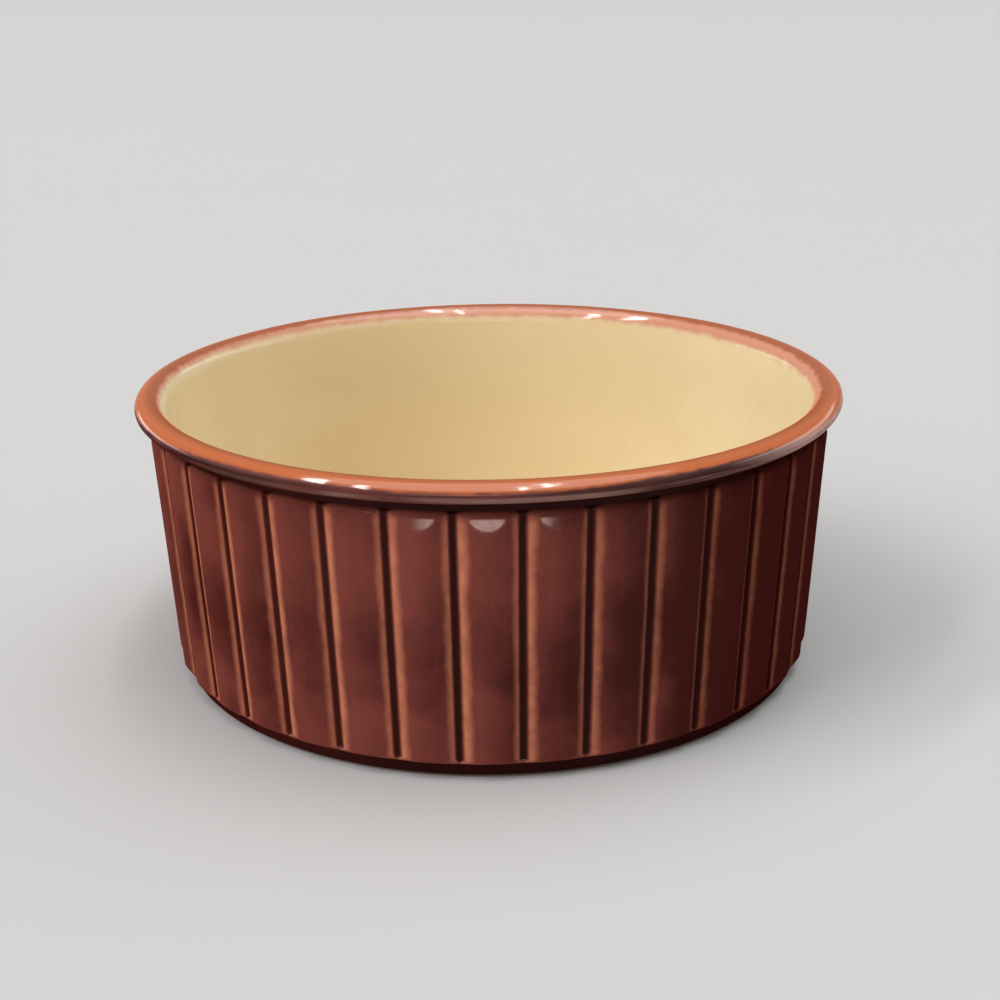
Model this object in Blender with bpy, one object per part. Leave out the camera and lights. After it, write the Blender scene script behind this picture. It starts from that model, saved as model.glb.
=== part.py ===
"""Round casserole dish in glazed stoneware, with a wall of upright staves and a rolled rim.

One fired clay body carries three coats of glaze: a brown coat outside and over the rim,
a cream coat inside, and a brown coat in the recess under the floor. Metres, +Z up, with
the origin at the centre of the ring that the dish stands on.
"""

from math import atan2, cos, pi, radians, sin, tan

import bmesh
import bpy

# Clay wall: a plain cone, drafted so that it leaves its mould, and thinner towards the rim
WALL_BASE_RADIUS = 0.08965
WALL_DRAFT = radians(3.17)
WALL_THICKNESS = 0.0044
RIM_THICKNESS = 0.0020

# Rolled rim: a bead outside the wall, and a rounded lip that runs down to the inside
RIM_HEIGHT = 0.0795
BEAD_STANDOFF = 0.0019
BEAD_REACH = 0.0029
BEAD_HEIGHT = 0.0038
LIP_DROP = 0.0045

# Staves: raised upright panels with narrow grooves between them
STAVE_COUNT = 36
STAVE_RELIEF = 0.0012
STAVE_SLOPE = radians(60)
GROOVE_FLOOR = 0.0026
NECK_HEIGHT = 0.0039

# Floor, and the foot ring that is drawn in below the staves
FOOT_HEIGHT = 0.0052
FOOT_TUCK = 0.0010
FOOT_WIDTH = 0.0055
FOOT_EDGE = 0.0006
FOOT_RECESS = 0.0018
FLOOR_THICKNESS = 0.0055
FLOOR_FILLET = 0.012

# Glaze coats, and the gap between each coat and the clay or the next coat
GLAZE_THICKNESS = 0.0006
GLAZE_GAP = 0.0003
GLAZE_LINE = 0.0012
LIP_OVERRUN = 0.0012

# Smoothness of the round stretches of the section
BEAD_STEPS = 7
LIP_STEPS = 4
FILLET_STEPS = 4
SHARP_ANGLE = radians(35)

# Rounding in the numbers, as an angle and as a distance
SAME_ANGLE = 1e-6
SAME_PLACE = 1e-6

# Places worked out from the sizes above
STAVE_STEP = 2 * pi / STAVE_COUNT
STAVE_SIDE_RUN = STAVE_RELIEF / tan(STAVE_SLOPE)
BEAD_CENTRE_Z = RIM_HEIGHT - BEAD_HEIGHT / 2
BEAD_UNDERSIDE_Z = RIM_HEIGHT - BEAD_HEIGHT
STAVE_TOP = BEAD_UNDERSIDE_Z - NECK_HEIGHT
LIP_END_Z = RIM_HEIGHT - LIP_DROP
COAT_MEETING_Z = LIP_END_Z - LIP_OVERRUN
FLOOR_Z = FOOT_RECESS + FLOOR_THICKNESS
INSIDE_BASE_RADIUS = WALL_BASE_RADIUS - WALL_THICKNESS
INSIDE_LEAN = atan2(LIP_END_Z * tan(WALL_DRAFT) + WALL_THICKNESS - RIM_THICKNESS, LIP_END_Z)
FOOT_RADIUS = WALL_BASE_RADIUS - FOOT_TUCK
FOOT_INNER_RADIUS = FOOT_RADIUS - FOOT_EDGE - FOOT_WIDTH
RECESS_RADIUS = FOOT_INNER_RADIUS - FOOT_EDGE

# Distances out from the clay surface: the clay itself, a coat's back and a coat's face
CLAY = 0.0
COAT_BACK = GLAZE_GAP
COAT_FACE = GLAZE_GAP + GLAZE_THICKNESS

# Finishes: colour and roughness
STONEWARE_BUFF = ((0.43, 0.27, 0.15, 1.0), 0.75)
TREACLE_BROWN = ((0.13, 0.035, 0.026, 1.0), 0.14)
HONEY_CREAM = ((0.73, 0.53, 0.28, 1.0), 0.2)


def wall_radius(z, level=CLAY):
    """Radius of the plain outer wall at height z, level metres out from the clay."""
    return WALL_BASE_RADIUS + z * tan(WALL_DRAFT) + level / cos(WALL_DRAFT)


def inside_radius(z, level=CLAY):
    """Radius of the inside wall at height z, level metres in from the clay."""
    return INSIDE_BASE_RADIUS + z * tan(INSIDE_LEAN) - level / cos(INSIDE_LEAN)


def foot_band_radius(z, level=CLAY):
    """Radius of the plain band between the table and the staves' lower ends."""
    lean = atan2(wall_radius(FOOT_HEIGHT) - FOOT_RADIUS, FOOT_HEIGHT)
    return FOOT_RADIUS + z * tan(lean) + level / cos(lean)


BEAD_RADIUS = wall_radius(BEAD_UNDERSIDE_Z) + BEAD_STANDOFF


def around(radius, angle, z):
    """Point at an angle counted from the front, -Y, towards +X."""
    return (radius * sin(angle), -radius * cos(angle), z)


def on_axis(z):
    """Ring of one point, where a floor or a ceiling closes."""
    return [(0, 0, z)]


def turned(radius, z):
    """Round ring with one point on each groove's line and one on each stave's line."""
    half = STAVE_STEP / 2
    return [around(radius, (i - 1) * half, z) for i in range(2 * STAVE_COUNT)]


def staved(z, level, raised):
    """Ring with four points to a stave: the foot and shoulder of each of its sides."""
    base = wall_radius(z, level)
    face = base + STAVE_RELIEF if raised else base
    foot = (GROOVE_FLOOR / 2 - level * tan(STAVE_SLOPE / 2)) / base
    shoulder = foot + STAVE_SIDE_RUN / base
    ring = []
    for stave in range(STAVE_COUNT):
        left = (stave - 0.5) * STAVE_STEP
        right = left + STAVE_STEP
        ring.append(around(base, left + foot, z))
        ring.append(around(face, left + shoulder, z))
        ring.append(around(face, right - shoulder, z))
        ring.append(around(base, right - foot, z))
    return ring


def stave_rings(level):
    """The staves from their lower ends to their upper ends."""
    end_shift = level * tan(STAVE_SLOPE / 2)
    low = FOOT_HEIGHT - end_shift
    high = STAVE_TOP + end_shift
    return [
        staved(low, level, False),
        staved(low + STAVE_SIDE_RUN, level, True),
        staved(high - STAVE_SIDE_RUN, level, True),
        staved(high, level, False),
    ]


def rim_rings(level):
    """The rim from the bead's underside, over its crest, to the lower end of the lip."""
    underside_z = BEAD_UNDERSIDE_Z - level
    rings = [turned(wall_radius(underside_z, level), underside_z)]
    for i in range(BEAD_STEPS + 1):
        turn = -pi / 2 + pi * i / BEAD_STEPS
        radius = BEAD_RADIUS + (BEAD_REACH + level) * cos(turn)
        rings.append(turned(radius, BEAD_CENTRE_Z + (BEAD_HEIGHT / 2 + level) * sin(turn)))
    lip_width = BEAD_RADIUS - inside_radius(LIP_END_Z, level)
    for i in range(1, LIP_STEPS + 1):
        turn = pi / 2 * i / LIP_STEPS
        radius = BEAD_RADIUS - lip_width * sin(turn)
        rings.append(turned(radius, LIP_END_Z + (LIP_DROP + level) * cos(turn)))
    return rings


def floor_rings(level):
    """The inside from the upper end of the floor fillet to the centre of the floor."""
    centre_z = FLOOR_Z + FLOOR_FILLET
    centre_radius = inside_radius(centre_z) - FLOOR_FILLET / cos(INSIDE_LEAN)
    reach = FLOOR_FILLET - level
    rings = []
    for i in range(FILLET_STEPS + 1):
        turn = INSIDE_LEAN + (pi / 2 - INSIDE_LEAN) * i / FILLET_STEPS
        rings.append(turned(centre_radius + reach * cos(turn), centre_z - reach * sin(turn)))
    return rings + [on_axis(FLOOR_Z + level)]


def clay_rings():
    """Section of the clay, from the underside's centre round to the floor's centre."""
    foot = [
        on_axis(FOOT_RECESS),
        turned(RECESS_RADIUS, FOOT_RECESS),
        turned(FOOT_INNER_RADIUS, 0),
        turned(FOOT_RADIUS - FOOT_EDGE, 0),
        turned(foot_band_radius(FOOT_EDGE), FOOT_EDGE),
    ]
    return foot + stave_rings(CLAY) + rim_rings(CLAY) + floor_rings(CLAY)


def outer_coat_skin(level):
    """One side of the brown coat, from its lower edge up and over the rim."""
    start = turned(foot_band_radius(GLAZE_LINE, level), GLAZE_LINE)
    end = turned(inside_radius(COAT_MEETING_Z, level), COAT_MEETING_Z)
    return [start] + stave_rings(level) + rim_rings(level) + [end]


def outer_coat_rings():
    """Closed section of the brown coat: its face upwards, then its back downwards."""
    face = outer_coat_skin(COAT_FACE)
    return face + outer_coat_skin(COAT_BACK)[::-1] + face[:1]


def liner_coat_skin(level):
    """One side of the cream coat, from its upper edge down to the floor's centre."""
    top = COAT_MEETING_Z - GLAZE_GAP
    return [turned(inside_radius(top, level), top)] + floor_rings(level)


def liner_coat_rings():
    """Section of the cream coat: its back upwards, then its face downwards."""
    return liner_coat_skin(COAT_BACK)[::-1] + liner_coat_skin(COAT_FACE)


def underside_coat_rings():
    """Section of the disc of glaze in the recess under the floor."""
    back = FOOT_RECESS - COAT_BACK
    face = FOOT_RECESS - COAT_FACE
    edge = RECESS_RADIUS - COAT_FACE
    return [on_axis(face), turned(edge, face), turned(edge, back), on_axis(back)]


def angles_of(ring):
    """Each vertex's angle from the first groove's line, then the first one's, a turn on."""
    angles = []
    for vertex in ring:
        turn = atan2(vertex.co.x, -vertex.co.y) + STAVE_STEP / 2 + SAME_ANGLE
        angles.append(turn % (2 * pi))
    return angles + [angles[0] + 2 * pi]


def weave(bm, first, second):
    """Triangles between two rings of unlike counts, taken in order of angle."""
    first_angles = angles_of(first)
    second_angles = angles_of(second)
    i = j = 0
    while i < len(first) or j < len(second):
        a = first[i % len(first)]
        b = second[j % len(second)]
        first_left = i < len(first)
        if j == len(second) or (first_left and first_angles[i + 1] <= second_angles[j + 1]):
            i += 1
            bm.faces.new((a, first[i % len(first)], b))
        else:
            j += 1
            bm.faces.new((a, second[j % len(second)], b))


def join(bm, first, second):
    """Faces between two rings that follow each other along a section."""
    if len(second) == 1:
        for a, b in zip(first, first[1:] + first[:1]):
            bm.faces.new((a, b, second[0]))
    elif len(first) == 1:
        for a, b in zip(second, second[1:] + second[:1]):
            bm.faces.new((first[0], b, a))
    elif len(first) == len(second):
        for i in range(len(first)):
            bm.faces.new((first[i - 1], first[i], second[i], second[i - 1]))
    else:
        weave(bm, first, second)


def finish_material(name, finish):
    colour, roughness = finish
    material = bpy.data.materials.new(name)
    material.use_nodes = True
    shader = material.node_tree.nodes["Principled BSDF"]
    shader.inputs["Base Color"].default_value = colour
    shader.inputs["Roughness"].default_value = roughness
    shader.inputs["Metallic"].default_value = 0.0
    return material


def add_piece(name, rings, finish, parent):
    """One closed piece lofted through its rings, shaded smooth except at its edges."""
    bm = bmesh.new()
    loops = [[bm.verts.new(point) for point in ring] for ring in rings]
    for first, second in zip(loops, loops[1:]):
        join(bm, first, second)
    bmesh.ops.remove_doubles(bm, verts=bm.verts, dist=SAME_PLACE)
    mesh = bpy.data.meshes.new(name)
    bm.to_mesh(mesh)
    bm.free()
    mesh.shade_smooth()
    mesh.set_sharp_from_angle(angle=SHARP_ANGLE)
    mesh.materials.append(finish_material(name, finish))
    piece = bpy.data.objects.new(name, mesh)
    piece.parent = parent
    bpy.context.scene.collection.objects.link(piece)


def main():
    for old in list(bpy.data.objects):
        bpy.data.objects.remove(old, do_unlink=True)
    dish = bpy.data.objects.new("casserole_dish", None)
    bpy.context.scene.collection.objects.link(dish)
    add_piece("stoneware_body", clay_rings(), STONEWARE_BUFF, dish)
    add_piece("outer_glaze", outer_coat_rings(), TREACLE_BROWN, dish)
    add_piece("liner_glaze", liner_coat_rings(), HONEY_CREAM, dish)
    add_piece("underside_glaze", underside_coat_rings(), TREACLE_BROWN, dish)


main()
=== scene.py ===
"""Looks of a round casserole dish: brown glaze outside, cream glaze inside, on a bare clay foot.

The dish stands on its foot ring at the origin, in metres, with +Z up and its front towards -Y.
"""

from functools import reduce
from math import acos, atan2, cos, hypot, pi, radians, sin, tan

import bmesh
import bpy
from mathutils import Matrix, Vector


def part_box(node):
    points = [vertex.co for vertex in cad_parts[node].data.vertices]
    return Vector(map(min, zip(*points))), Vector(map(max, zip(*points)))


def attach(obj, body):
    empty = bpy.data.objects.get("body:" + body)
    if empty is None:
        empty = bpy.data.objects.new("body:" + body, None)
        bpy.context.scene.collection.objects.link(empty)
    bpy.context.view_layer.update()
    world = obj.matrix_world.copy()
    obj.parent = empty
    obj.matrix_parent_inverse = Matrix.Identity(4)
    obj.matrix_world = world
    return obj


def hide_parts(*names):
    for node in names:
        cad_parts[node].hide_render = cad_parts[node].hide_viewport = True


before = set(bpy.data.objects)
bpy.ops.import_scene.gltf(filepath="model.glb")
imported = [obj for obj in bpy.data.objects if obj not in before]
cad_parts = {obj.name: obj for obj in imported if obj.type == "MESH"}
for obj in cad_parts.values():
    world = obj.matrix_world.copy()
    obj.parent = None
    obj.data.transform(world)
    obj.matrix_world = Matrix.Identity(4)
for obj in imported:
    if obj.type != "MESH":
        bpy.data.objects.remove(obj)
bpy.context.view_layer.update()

bl_info = {
    "name": "Stave casserole dish",
    "version": (1, 0, 0),
    "blender": (4, 5, 0),
    "location": "3D View > Sidebar > Dish",
    "description": "Makes a glazed casserole dish with a wall of staves, and the studio that shows it",
    "category": "Add Mesh",
}

BODY = "root"

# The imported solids' boxes, which the finished pieces keep to
CLAY_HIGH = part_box("stoneware_body")[1]
COAT_LOW, COAT_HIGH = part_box("outer_glaze")
LINER_LOW, LINER_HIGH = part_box("liner_glaze")
DISC_LOW, DISC_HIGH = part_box("underside_glaze")

# Points along and across one stave's slice
GROOVE_SHARES = (0.0, 0.5, 0.85)
SWELL_STEPS = 13
SWELL_CROWDING = 1.25
TURNED_STEPS = 8
RECESS_SHARES = (0.4, 0.8, 1.0)
DISC_SHARES = (0.25, 0.5, 0.75, 0.9)
FINE_STEPS = {"lower": 5, "wall": 9, "upper": 14, "fillet": 4, "bead": 16, "lip": 9, "floor": 10}
COARSE_STEPS = {"lower": 2, "wall": 1, "upper": 2, "fillet": 1, "bead": 4, "lip": 3, "floor": 4}

# Gap between the clay and a coat's back in the solids, and the closer seat here
COAT_GAP = 0.0003
SEAT = 0.00004

# Points that are the same, and edges that stay sharp
SAME_PLACE = 0.000004
SHARP_ANGLE = radians(50)

# Forms of the staves: a groove's sill as a share of the relief, the bevel's room as a share of its
# reach, the softness of its crease, and where the neck starts on the way up to the bead
SILL_RISE = 0.8
BEVEL_ROOM = 1.2
CREASE = 0.00005
NECK_START = 0.3

# Marks on the points: distance in from a stave's edge, distance over the rim from its crest (below
# zero outside), and distance from a stave's middle
EDGE_MARK = "glaze_edge"
RUN_MARK = "lip_run"
ACROSS_MARK = "stave_across"

# The run far from the rim, and the edge marks of the bead, the neck and the coat's lower edge. Marks
# below zero give the dark pool colour, which on the neck and the foot band is partly painted shade
FAR_OUT = -0.02
BEAD_EDGE = 0.006
NECK_EDGE = -0.002
ROLL_EDGE = 0.0012
ROLL_FALL = 2.2

# How fast the edge mark grows from a stave's ends, right side and sill, its start at the upper end, and
# how rounded its corners are
LOWER_BREAK = 5.0
UPPER_BREAK = 3.0
# The right side's quicker growth narrows the rust on a stave's right edge, as painted shade
SHADED_RIGHT_BREAK = 1.5
SILL_BREAK = 0.0026
UPPER_START = 0.0004
LOWER_CORNER = 0.0007
UPPER_CORNER = 0.0022

# Looks. Each range says where a change starts and ends, and the values at both ends if not 0 and 1.
# Heights and distances are in metres, and the rest are shares.
NOISE_ROUGHNESS = 0.55

# Brown glaze: how thickly it lies, with a painted dark reflection in a band round the wall, and painted
# shade that darkens it to the right and on each stave's right half
STREAK_STRETCH = (1, 1, 0.12)
CLOUD_WEIGHT = 0.7
STREAK_WEIGHT = 0.16
GRAIN_WEIGHT = 0.16
# The band round the wall is a painted dark reflection
REFLECTION_BAND_WEIGHT = 0.20
REFLECTION_BAND_WANDER = 0.040
REFLECTION_BAND_START = (0.014, 0.026)
REFLECTION_BAND_END = (0.036, 0.056, 1, 0)
# Painted shade: darker to the dish's right and on each stave's right half
SHADE_TO_RIGHT = (-0.01, 0.08, 0, 0.62)
SHADE_ACROSS_STAVE = (-0.006, 0.006, -0.11, 0.11)
THICK_RANGE = (0.2, 1)

# Rust along a stave's edges, and the pools in the grooves. Painted shade makes the rust narrower and
# fainter to the right and on a stave's right half, and painted light makes the pools lighter to the left
RUST_WANDER = 0.0020
RUST_RAGGED = 0.0010
RUST_SHADE_NARROWS = (0.005, 0.065, 1, 1.4)
RUST_START = (0.0001, 0.0013)
RUST_END = (0.0012, 0.0038, 1, 0)
RUST_LOWER_END = (0.0048, 0.0062, 0.25, 1)
RUST_UPPER_END = (0.069, 0.0722, 1, 0.1)
RUST_PATCHES = (0.25, 0.75, 0.55, 1)
RUST_SHADE_FADES = (-0.01, 0.07, 1, 0.32)
RUST_SHADE_ACROSS = (-0.003, 0.003, 1, 0.6)
POOL_RAGGED = 0.0004
POOL_EDGE = (-0.0002, 0.00115, 1, 0)
POOL_LIT_LEFT = (-0.06, -0.01, 0.8, 0)

# Bead: painted shade and dark reflection on its underside, the orange that sags from its crest, and a
# painted pale reflection low on the bead that widens into a sheen at the right
LINE_STRETCH = (0.06, 0.06, 1)
BEAD_START = (-0.012, -0.01)
UNDER_SHADE_END = (-0.0062, -0.0048, 1, 0)
UNDER_SHADE_SIDES = (0.03, 0.075, 0.6, 1)
UNDER_SHADE_LINES = (0.35, 0.6, 0.35, 1)
SAG_MIDDLE = (0.012, 0.045, -0.0002, 0.0009)
SAG_SIDES = (0.066, 0.085, 0, 0.001)
CREST_RAGGED = 0.0016
CREST_START = (-0.0061, -0.0049)
# A painted pale reflection low on the bead, and a painted sheen at its right end
SHEEN_LINE_TOP = (0.0028, 0.0036)
SHEEN_LINE_BOTTOM = (0.0046, 0.0053, 1, 0)
SHEEN_LINE_STREAKS = (0.38, 0.58, 0.14, 0.46)
SHEEN_LINE_SIDES = (0.05, 0.085, 1, 0.1)
SHEEN_LINE_PATCHES = (0.35, 0.65, 0.35, 1)
SHEEN_RIGHT = (0.054, 0.086)
SHEEN_TOP = (-0.0058, -0.0044, 1, 0)
SHEEN_STREAKS = (0.38, 0.55, 0.6, 1)

# Lip: how the brown runs out over the cream, further on one side, as the dish was dipped aslant
LIP_WANDER = 0.0030
DIP_TILT = 0.013
# Chestnut is painted shade on the lip's inner slope, just inside the crest
CHESTNUT_SHADE_START = (-0.0021, 0.0003, 0, 0.6)
BLUSH_START = (0.0019, 0.0044)
FRINGE_START = (0.0044, 0.0074)
CREAM_START = (0.0058, 0.0088)

# Cream glaze: honey clouds, amber on the floor, and painted shade: more honey at the back, away from the
# sides
HONEY_SHADE_MIDDLE = (0.03, 0.075, 0.35, 0)
HONEY_SHADE_BACK = (0.03, 0.08)
HONEY_GRAIN = 0.25
HONEY_RANGE = (0.45, 0.95)
AMBER_HEIGHT = (0.0075, 0.023, 0.95, 0)
AMBER_CLOUD = -0.4

# Glass skin of the glazes: how clear it is, how smooth, and how deep its ripples and pits are
CLEAR_RIM = (-0.0072, -0.0046, 0, 0.45)
CLEAR_WALL = (0.03, 0.075, 0.03, 0)
CLEAR_LINER = 0.12
CLEAR_UNDERSIDE = 0.08
DULL_INSIDE = (0.004, 0.009, 0, 0.33)
DULL_NEAR = (-0.05, 0, 0.42, 0)
DULL_LIP = (-0.0006, 0.0016)
PATCH_EDGE = (0.55, 1.05, 1, 0)
PATCH_TOP = (-0.04, 0.14)
PATCH_MOTTLE = (0.3, 0.65, 0.68, 1)
PATCH_SIDES = (0.013, 0.0185, 0.46, 0)
SMOOTHEST = 0.055
DULLING = 0.05
DULL_CLOUD = (0.4, 0.75)
GLAZE_BUMP = 0.00005
PIT_DEPTH = 0.07
GLASS = {"Coat Roughness": 0.085, "Coat IOR": 2.4, "IOR": 1.5, "Specular IOR Level": 0.0}

# Bare clay and iron specks
CLAY_CLOUD = (0.3, 0.7)
CLAY_CLOUD_WEIGHT = 0.25
CLAY_SAND_WEIGHT = 0.4
CLAY_TONE = (0.15, 0.6, 0, 0.35)
CLAY_ROUGHNESS = (0.3, 0.7, 0.72, 0.92)
CLAY_BUMP = 0.00015
CLAY_SPECKS = {"Spacing": 0.0022, "Size": 0.0005, "Share": 0.22, "Strength": 0.7}
CREAM_SPECKS = {"Spacing": 0.0060, "Size": 0.00045, "Share": 0.10, "Strength": 0.5}
SPECK_LEAST = 0.001
SPECK_EDGE = (0.6, 1, 1, 0)

# Studio: the floor, the sky's tint, how far off the lamps are, and the camera's sensor in millimetres
FLOOR_SIDES = 96
FLOOR_TONE = (0.3, 0.7, 0, 0.06)
FLOOR_GREY = (0.5, 0.5, 0.5, 1.0)
SKY_TINT = (1.0, 0.99, 0.98, 1.0)
BOX_REACH = 40.0
SENSOR_WIDTH = 36.0
WHITE = (1.0, 1.0, 1.0)
WARM = (1.0, 0.72, 0.66)

# Soft oval boxes that face the dish: name, bearing from the front towards +X, elevation, lean to the
# left, width and length, all in degrees as seen from the dish, then brightness and colour
SOFT_BOXES = (
    ("left_box", -76, 51.5, 45, 4.6, 40, 12.0, WHITE),
    ("left_box_beside", -48, 44.8, 23.4, 3.6, 42, 12.0, WHITE),
    ("front_box", 18.6, 66.0, -13, 1.7, 44, 13.0, WHITE),
    ("front_box_beside", 80, 80.2, -71, 2.3, 40, 12.0, WHITE),
    ("right_strip", 117, 18, 0, 70, 11, 1.8, WHITE),
    ("left_strip", -125, 5, 0, 44, 10, 3.2, WHITE),
    ("low_box", -5, 4.5, 0, 50, 10, 2.9, WARM),
    ("over_box", 0, 86, 0, 64, 76, 1.15, WHITE),
)

# Wide sun lamps that show in no reflection: name, bearing, elevation, width and strength
SUNS = (
    ("key_lamp", -62, 35, 40, 0.66),
    ("back_lamp", 118, 58, 60, 0.60),
)


def number(name, description, default, **kind):
    return bpy.props.FloatProperty(name=name, description=description, default=default, **kind)


def length(name, description, default):
    return number(name, description, default, unit="LENGTH", precision=5)


def angle(name, description, degrees):
    return number(name, description, radians(degrees), subtype="ANGLE")


def colour(name, description, red, green, blue):
    return bpy.props.FloatVectorProperty(
        name=name, description=description, default=(red, green, blue, 1.0),
        size=4, min=0.0, max=1.0, subtype="COLOR",
    )


class ClaySizes(bpy.types.PropertyGroup):
    """Sizes of the fired clay body."""

    base_radius: length("Base radius", "Radius of the clay wall, carried down to the table", 0.08965)
    draft: angle("Draft", "Lean of the wall away from the axis", 3.17)
    thickness: length("Wall", "Clay between the grooves and the inside, at table height", 0.0044)
    rim_thickness: length("Rim wall", "Clay between the grooves and the inside, at the lip", 0.0018)
    bead_standoff: length("Bead standoff", "How far the bead's middle stands out from the wall", 0.0019)
    bead_reach: length("Bead reach", "Half width of the rolled rim's bead", 0.0029)
    bead_height: length("Bead height", "Height of the rolled rim's bead", 0.0038)
    lip_drop: length("Lip drop", "Fall of the rounded lip from the crest to the inside wall", 0.0045)
    foot_height: length("Foot height", "Height where the plain band meets the wall", 0.0052)
    foot_tuck: length("Foot tuck", "How far the plain band is drawn in at the table", 0.0010)
    foot_width: length("Foot width", "Flat width of the ring that the dish stands on", 0.0055)
    foot_edge: length("Foot edge", "Eased edge on each side of the ring", 0.0006)
    recess: length("Recess", "Depth of the hollow inside the ring", 0.0018)
    floor_fillet: length("Floor fillet", "Radius where the inside wall turns into the floor", 0.012)


class StaveSizes(bpy.types.PropertyGroup):
    """Sizes of the raised staves, measured on the glaze."""

    count: bpy.props.IntProperty(name="Staves", description="Staves around the wall", default=36)
    relief: length("Relief", "How far a stave's middle stands out from its grooves", 0.0016)
    swell: number("Swell", "How soon the rounding from a groove flattens out, lower is sooner", 0.9)
    groove: length("Groove", "Width of the groove's floor", 0.0011)
    neck_cut: length("Neck cut", "How far the neck under the rim is cut in behind the foot band", 0.0008)
    bottom: length("Lower end", "Height of the staves' lower ends", 0.0047)
    top: length("Upper end", "Height of the staves' upper ends", 0.0722)
    sill: length("Sill", "Height over which a groove runs out above the staves' lower ends", 0.0009)
    bottom_round: length("Lower rounding", "Height of the rounding at a stave's lower end", 0.0009)
    bevel: angle("Bevel", "Lean of the bevel at a stave's upper end, off the wall", 14.5)
    bevel_reach: length("Bevel reach", "How far the bevel comes down in the middle of a stave", 0.0050)
    top_round: length("Upper rounding", "Height of the rounding at a stave's upper end", 0.0015)
    patch_width: length("Clear patch width", "Width of the clear patch on a stave's bevel", 0.0090)
    patch_height: length("Clear patch height", "Height of the same patch, down the bevel", 0.0036)


class GlazeFinish(bpy.types.PropertyGroup):
    """Colours of the glazes and the clay, and how evenly they lie."""

    face: colour("Brown", "Brown glaze on the flat of a stave", 0.212, 0.052, 0.040)
    # Dark brown is thicker glaze, and also the painted shade and painted dark reflection on the wall
    shade: colour("Dark brown", "Brown glaze where it lies thicker", 0.058, 0.01, 0.008)
    rust: colour("Rust", "Brown glaze where it thins over an edge", 0.62, 0.215, 0.115)
    # Black brown is pooled glaze in the grooves; under the bead, in the neck and on the foot band it is
    # partly painted shade
    pool: colour("Black brown", "Brown glaze where it pools in a groove", 0.026, 0.004, 0.003)
    crest: colour("Orange", "Brown glaze on the crest of the rim", 0.49, 0.115, 0.026)
    # Chestnut is painted shade on the lip's inner slope, just inside the crest
    chestnut_shade: colour("Chestnut", "Brown glaze just inside the crest", 0.27, 0.068, 0.020)
    blush: colour("Salmon", "Where the brown runs thin over the cream", 0.62, 0.27, 0.17)
    # Painted reflection: the pale line low on the bead and the sheen at its right end
    painted_reflection: colour("Mauve", "Brown glaze in the pale line low on the bead", 0.52, 0.32, 0.27)
    fringe: colour("Straw", "Pale edge where the brown ends on the cream", 0.76, 0.6, 0.39)
    cream: colour("Cream", "Cream glaze inside", 0.85, 0.715, 0.465)
    honey: colour("Honey", "Cream glaze where it lies thicker", 0.80, 0.655, 0.405)
    amber: colour("Amber", "Cream glaze where it pools on the floor", 0.64, 0.515, 0.31)
    clay: colour("Clay", "Bare fired clay", 0.36, 0.27, 0.19)
    iron: colour("Iron", "Iron specks in the clay and the glaze", 0.075, 0.03, 0.015)
    warp: length("Warp", "Slow unevenness of the fired shape", 0.00016)
    warp_size: length("Warp size", "Distance over which the warp changes", 0.045)
    ripple: length("Ripple", "Quick unevenness of the glaze", 0.000016)
    ripple_size: length("Ripple size", "Distance over which the ripple changes", 0.007)
    seed: number("Seed", "Which unevenness is drawn", 3.7)


class StudioSettings(bpy.types.PropertyGroup):
    """Floor, light and camera."""

    floor: colour("Floor", "Colour of the floor", 0.54, 0.535, 0.53)
    floor_radius: length("Floor radius", "Radius of the floor", 40.0)
    sky: number("Sky", "Strength of the even light from all round", 0.20)
    backdrop: number("Backdrop", "Strength of the backdrop, as the camera and reflections see it", 0.42)
    camera_reach: length("Camera reach", "Distance of the camera from the dish's axis", 0.44805)
    camera_height: length("Camera height", "Height of the camera above the table", 0.19723)
    camera_turn: angle("Camera turn", "Turn of the camera round the dish, from the front", 0.55)
    camera_heading: angle("Camera heading", "Turn of the camera away from +Y, to the right", -0.20)
    camera_tilt: angle("Camera tilt", "How far the camera looks down", 19.05)
    camera_roll: angle("Camera roll", "Roll of the camera", -0.83)
    lens: number("Lens", "Focal length of the camera in millimetres", 58.03)


def on_axis(z):
    """Point on the dish's axis, without glaze marks."""
    return (0.0, 0.0, z, 0.0, 0.0, 0.0)


def around(radius, turn, z):
    """Point at an angle counted from the front, -Y, towards +X."""
    return (radius * sin(turn), -radius * cos(turn), z)


def quarter(steps):
    """Angles of a quarter turn in even steps."""
    return [pi / 2 * i / steps for i in range(steps + 1)]


def rounded_edge(side, end, corner):
    """Distance in from the edge of a stave with rounded corners."""
    if side >= corner or end >= corner:
        return min(side, end)
    return corner - hypot(corner - side, corner - end)


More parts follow.
